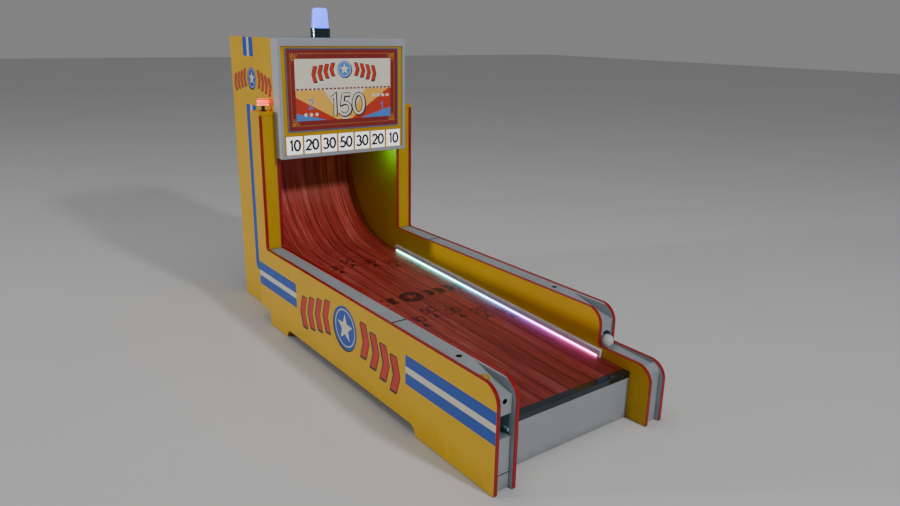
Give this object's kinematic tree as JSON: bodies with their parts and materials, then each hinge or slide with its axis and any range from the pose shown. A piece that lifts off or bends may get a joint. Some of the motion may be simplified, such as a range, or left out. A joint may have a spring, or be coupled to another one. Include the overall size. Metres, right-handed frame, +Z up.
{
  "type": "alley roller ball game",
  "caption": "Arcade alley ball game with padded side rails, curved wooden ramp, lit score head, ball return and roof beacon.",
  "frame": {"origin": "middle of the footprint on the floor", "axes": "+Z up; the player stands at -Y and rolls the ball towards +Y; +X is the player's right"},
  "size_m": [1.09, 2.89, 1.957],
  "materials": {
    "yellow_panel": "yellow laminated board, satin",
    "mustard_board": "painted board, satin",
    "red_moulding": "glossy red flexible edge moulding",
    "gray_cover": "powder coat, fine texture",
    "gray_trim": "light gray powder coat",
    "black_gloss": "polished",
    "black_matte": "moulded, matte",
    "red_wood": "varnished, red brown",
    "plywood": "raw",
    "steel": "zinc plated",
    "chrome": "polished",
    "light_bar": "anodised",
    "glow_lens": "frosted, lit",
    "screen_glass": "lit picture behind glass",
    "white_tile": "backlit, frosted",
    "blue_lens": "translucent",
    "red_lens": "translucent, lit",
    "green_lens": "translucent, lit",
    "yellow_button": "translucent, lit",
    "ball_resin": "hard resin, polished",
    "glide_rubber": "matte"
  },
  "bodies": {
    "cabinet": {"left_outer_panel": "yellow_panel", "left_inner_panel": "mustard_board", "left_mouldings": "red_moulding", "right_outer_panel": "yellow_panel", "right_inner_panel": "mustard_board", "right_mouldings": "red_moulding", "left_rail_cover": "gray_cover", "right_rail_cover": "gray_cover", "rear_rail_covers": "gray_cover", "rail_cover_screws": "black_matte", "right_nose_cover": "gray_cover", "left_toe_panel": "gray_cover", "pocket_liner": "black_matte", "start_button_bezel": "yellow_button", "column_boards": "mustard_board", "column_caps": "yellow_panel", "tower_left_side": "yellow_panel", "tower_right_side": "yellow_panel", "tower_top": "yellow_panel", "tower_base": "plywood", "tower_back": "black_matte", "rear_door_hinges": "steel", "power_inlet": "black_matte", "kick_panel": "gray_trim", "alley_nosing": "black_gloss", "alley_deck": "plywood", "alley_planks": "red_wood", "ramp_planks": "red_wood", "ramp_deck": "plywood", "top_deflector": "black_matte", "led_housings": "light_bar", "led_lenses": "glow_lens", "head_frame": "gray_trim", "display_panel": "yellow_panel", "screen_bezel": "black_matte", "screen": "screen_glass", "monitor": "black_matte", "score_tiles": "white_tile", "score_bins": "plywood", "bin_sensors": "black_matte", "ball_gutter": "black_matte", "ball_return_track": "gray_cover", "gate_solenoid": "steel", "beacon_base": "black_gloss", "beacon_lamp": "chrome", "beacon_dome": "blue_lens", "strobe_base": "black_matte", "strobe_lens": "red_lens", "underhead_lamps": "green_lens", "floor_glides": "glide_rubber"},
    "button": {"start_button": "yellow_button"},
    "access_door": {"left_access_door": "gray_cover"},
    "latch": {"pocket_latch": "chrome"},
    "back_door": {"rear_door": "black_matte"},
    "lock": {"rear_door_lock": "chrome"},
    "rocker": {"power_switch": "black_gloss"},
    "reflector": {"beacon_reflector": "chrome"},
    "ball_one": {"ball_1": "ball_resin"},
    "ball_two": {"ball_2": "ball_resin"},
    "gate": {"ball_gate": "steel"}
  },
  "joints": [
    {"name": "start_button_press", "type": "slide", "parent": "cabinet", "child": "button", "axis": [0, 0.2218, -0.9751], "range_m": [0, 0.004], "stiffness_N_per_m": 600},
    {"name": "access_door_hinge", "type": "hinge", "parent": "cabinet", "child": "access_door", "pos_m": [-0.4845, -1.42, 0.0835], "axis": [1, 0, 0], "range_deg": [0, 90]},
    {"name": "pocket_latch_hinge", "type": "hinge", "parent": "cabinet", "child": "latch", "pos_m": [-0.45, -1.389, 0.277], "axis": [-1, 0, 0], "range_deg": [0, 30], "stiffness_Nm_per_rad": 0.05, "springref_deg": -17.19},
    {"name": "rear_door_hinge", "type": "hinge", "parent": "cabinet", "child": "back_door", "pos_m": [-0.26, 1.441, 0.37], "axis": [0, 0, 1], "range_deg": [0, 110]},
    {"name": "rear_lock_turn", "type": "hinge", "parent": "back_door", "child": "lock", "pos_m": [0.22, 1.437, 0.37], "axis": [0, -1, 0], "range_deg": [0, 90]},
    {"name": "power_switch_rock", "type": "hinge", "parent": "cabinet", "child": "rocker", "pos_m": [0.33, 1.44, 0.133], "axis": [1, 0, 0], "range_deg": [-8, 8]},
    {"name": "beacon_spin", "type": "hinge", "parent": "cabinet", "child": "reflector", "pos_m": [0, 1.028, 1.829], "axis": [0, 0, 1], "continuous": true},
    {"name": "ball_one_roll", "type": "slide", "parent": "cabinet", "child": "ball_one", "axis": [0, -0.999, -0.0454], "range_m": [0, 0.232]},
    {"name": "ball_two_roll", "type": "slide", "parent": "cabinet", "child": "ball_two", "axis": [0, -0.999, -0.0454], "range_m": [0, 0.232]},
    {"name": "ball_gate_lift", "type": "slide", "parent": "cabinet", "child": "gate", "axis": [0, 0, 1], "range_m": [0, 0.016], "stiffness_N_per_m": 60}
  ],
  "couplings": [
    {"joint": "ball_two_roll", "follows": "ball_one_roll", "ratio": 1}
  ]
}
